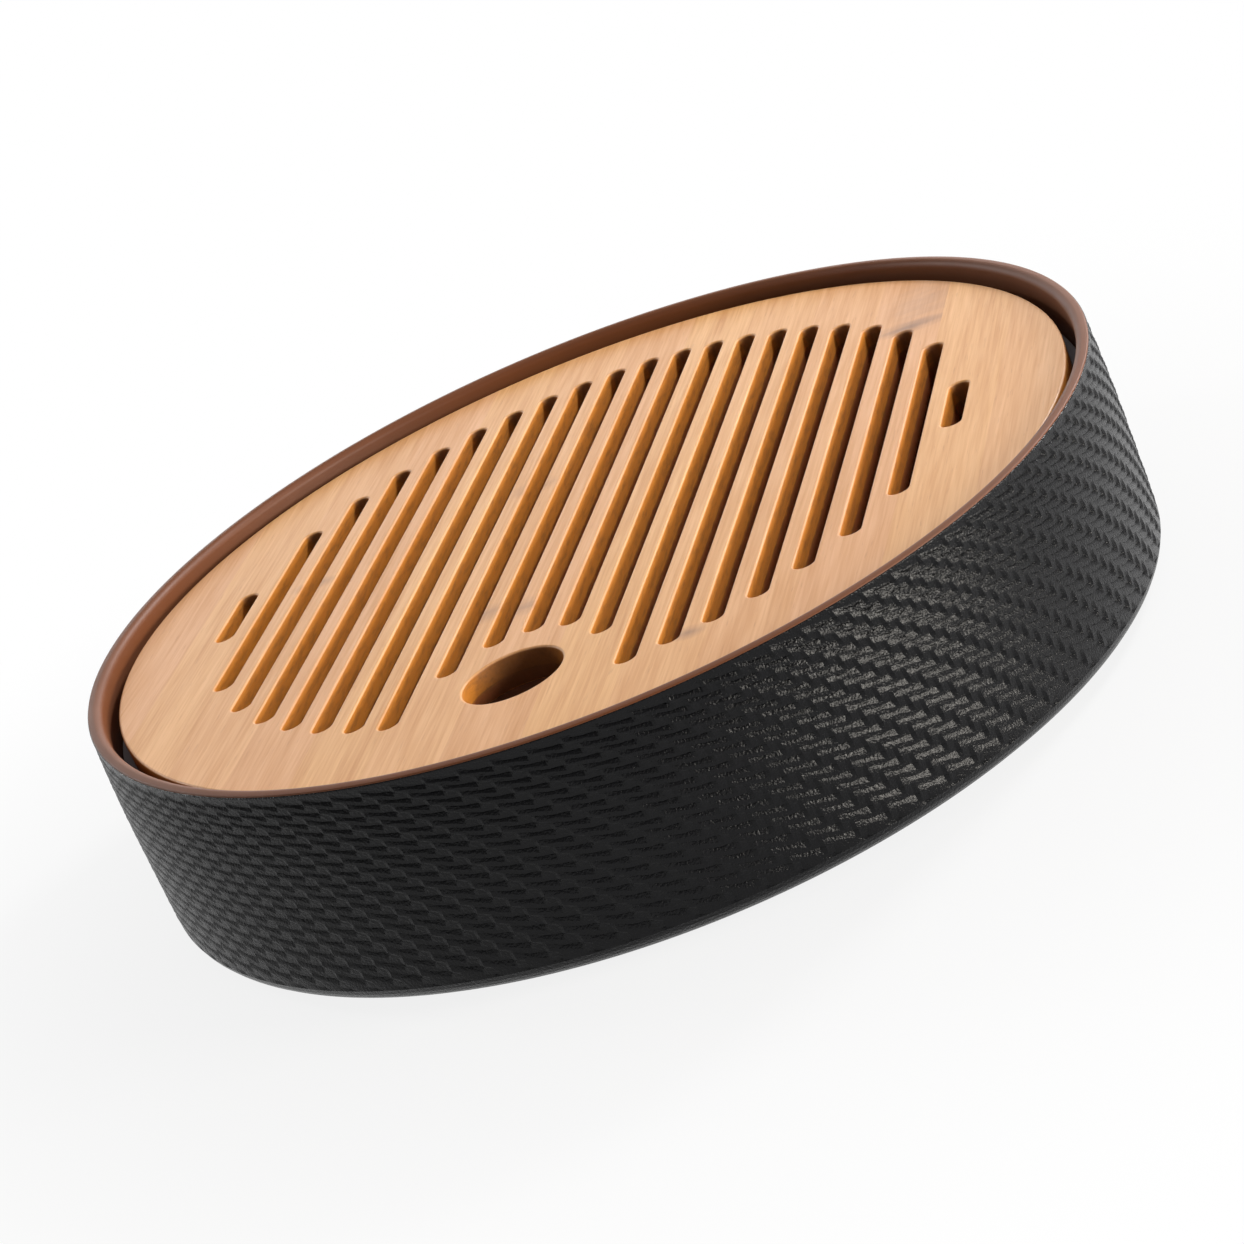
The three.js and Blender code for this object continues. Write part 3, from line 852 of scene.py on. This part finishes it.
def set_floor(context, g):
    # Painted floor, matte and pale. It keeps the tray's shadow, and away from it shows plain white.
    bm = bmesh.new()
    bmesh.ops.create_grid(bm, x_segments=8, y_segments=8, size=FLOOR_REACH)
    mesh = bpy.data.meshes.new("floor")
    bm.to_mesh(mesh)
    bm.free()
    floor = bpy.data.objects.new("floor", mesh)
    floor.location.z = -FLOOR_DROP
    context.scene.collection.objects.link(floor)
    material, tree = empty_material("floor_paint_matte")
    place = add_node(tree, "ShaderNodeTexCoord").outputs["Object"]
    reach = add_node(tree, "ShaderNodeVectorMath", {0: place}, operation="LENGTH").outputs["Value"]
    far = add_node(tree, "ShaderNodeMapRange",
                   {"Value": reach, "From Min": SHADE_START, "From Max": SHADE_END,
                    "To Min": SHADE_WHITE}, interpolation_type="SMOOTHSTEP").outputs[0]
    white = add_node(tree, "ShaderNodeMath", {0: seen_rays(tree), 1: far}, operation="MULTIPLY")
    paint = add_node(tree, "ShaderNodeBsdfDiffuse", {"Color": g.floor_tint})
    glow = add_node(tree, "ShaderNodeEmission", {"Color": (1, 1, 1, 1), "Strength": 1})
    mixed = add_node(tree, "ShaderNodeMixShader",
                     {0: white.outputs[0], 1: paint.outputs[0], 2: glow.outputs[0]})
    add_node(tree, "ShaderNodeOutputMaterial", {"Surface": mixed.outputs[0]})
    mesh.materials.append(material)


def seen_rays(tree):
    """One for rays that show a surface to the camera, straight or by way of gloss and glass."""
    path = add_node(tree, "ShaderNodeLightPath").outputs
    seen = add_node(tree, "ShaderNodeMath",
                    {0: path["Is Camera Ray"], 1: path["Is Glossy Ray"]}, operation="MAXIMUM")
    seen = add_node(tree, "ShaderNodeMath",
                    {0: seen.outputs[0], 1: path["Is Transmission Ray"]}, operation="MAXIMUM")
    return seen.outputs[0]


def set_world(context, g):
    """Dim studio walls all round, above a white band along the horizon."""
    world = bpy.data.worlds.new("studio")
    context.scene.world = world
    world.use_nodes = True
    tree = world.node_tree
    tree.nodes.clear()
    ray = add_node(tree, "ShaderNodeTexCoord").outputs["Generated"]
    rise = add_node(tree, "ShaderNodeSeparateXYZ", {0: ray}).outputs["Z"]
    low = add_node(tree, "ShaderNodeMapRange",
                   {"Value": rise, "From Min": HAZE_TOP, "From Max": HAZE_FULL},
                   interpolation_type="SMOOTHSTEP").outputs[0]
    white = add_node(tree, "ShaderNodeMath", {0: seen_rays(tree), 1: low}, operation="MULTIPLY")
    level = add_node(tree, "ShaderNodeMapRange", {"Value": white.outputs[0], "To Min": g.dim})
    sky = add_node(tree, "ShaderNodeBackground",
                   {"Color": (1, 1, 1, 1), "Strength": level.outputs[0]})
    add_node(tree, "ShaderNodeOutputWorld", {"Surface": sky.outputs[0]})


class TRAY_PT_panel(bpy.types.Panel):
    """Lists the pieces of the tray."""
    bl_idname = "TRAY_PT_panel"
    bl_label = "Draining Tray"
    bl_space_type = "VIEW_3D"
    bl_region_type = "UI"
    bl_category = "Tray"

    def draw(self, context):
        for operator in PIECES:
            self.layout.operator(operator.bl_idname)


PIECES = (TRAY_OT_shell, TRAY_OT_basin, TRAY_OT_rubber, TRAY_OT_plate, TRAY_OT_stage)
SETTINGS = {
    "tray_shell": ShellSettings,
    "tray_basin": BasinSettings,
    "tray_ring": RingSettings,
    "tray_plate": PlateSettings,
    "tray_stage": StageSettings,
}


def register():
    for cls in (*SETTINGS.values(), *PIECES, TRAY_PT_panel):
        bpy.utils.register_class(cls)
    for name, group in SETTINGS.items():
        setattr(bpy.types.Scene, name, PointerProperty(type=group))


def unregister():
    for name in SETTINGS:
        delattr(bpy.types.Scene, name)
    for cls in (TRAY_PT_panel, *reversed(PIECES), *SETTINGS.values()):
        bpy.utils.unregister_class(cls)


def main():
    register()
    bpy.ops.tray.shell()
    bpy.ops.tray.basin()
    bpy.ops.tray.rubber()
    bpy.ops.tray.plate()
    bpy.ops.tray.stage()


if __name__ == "__main__":
    main()
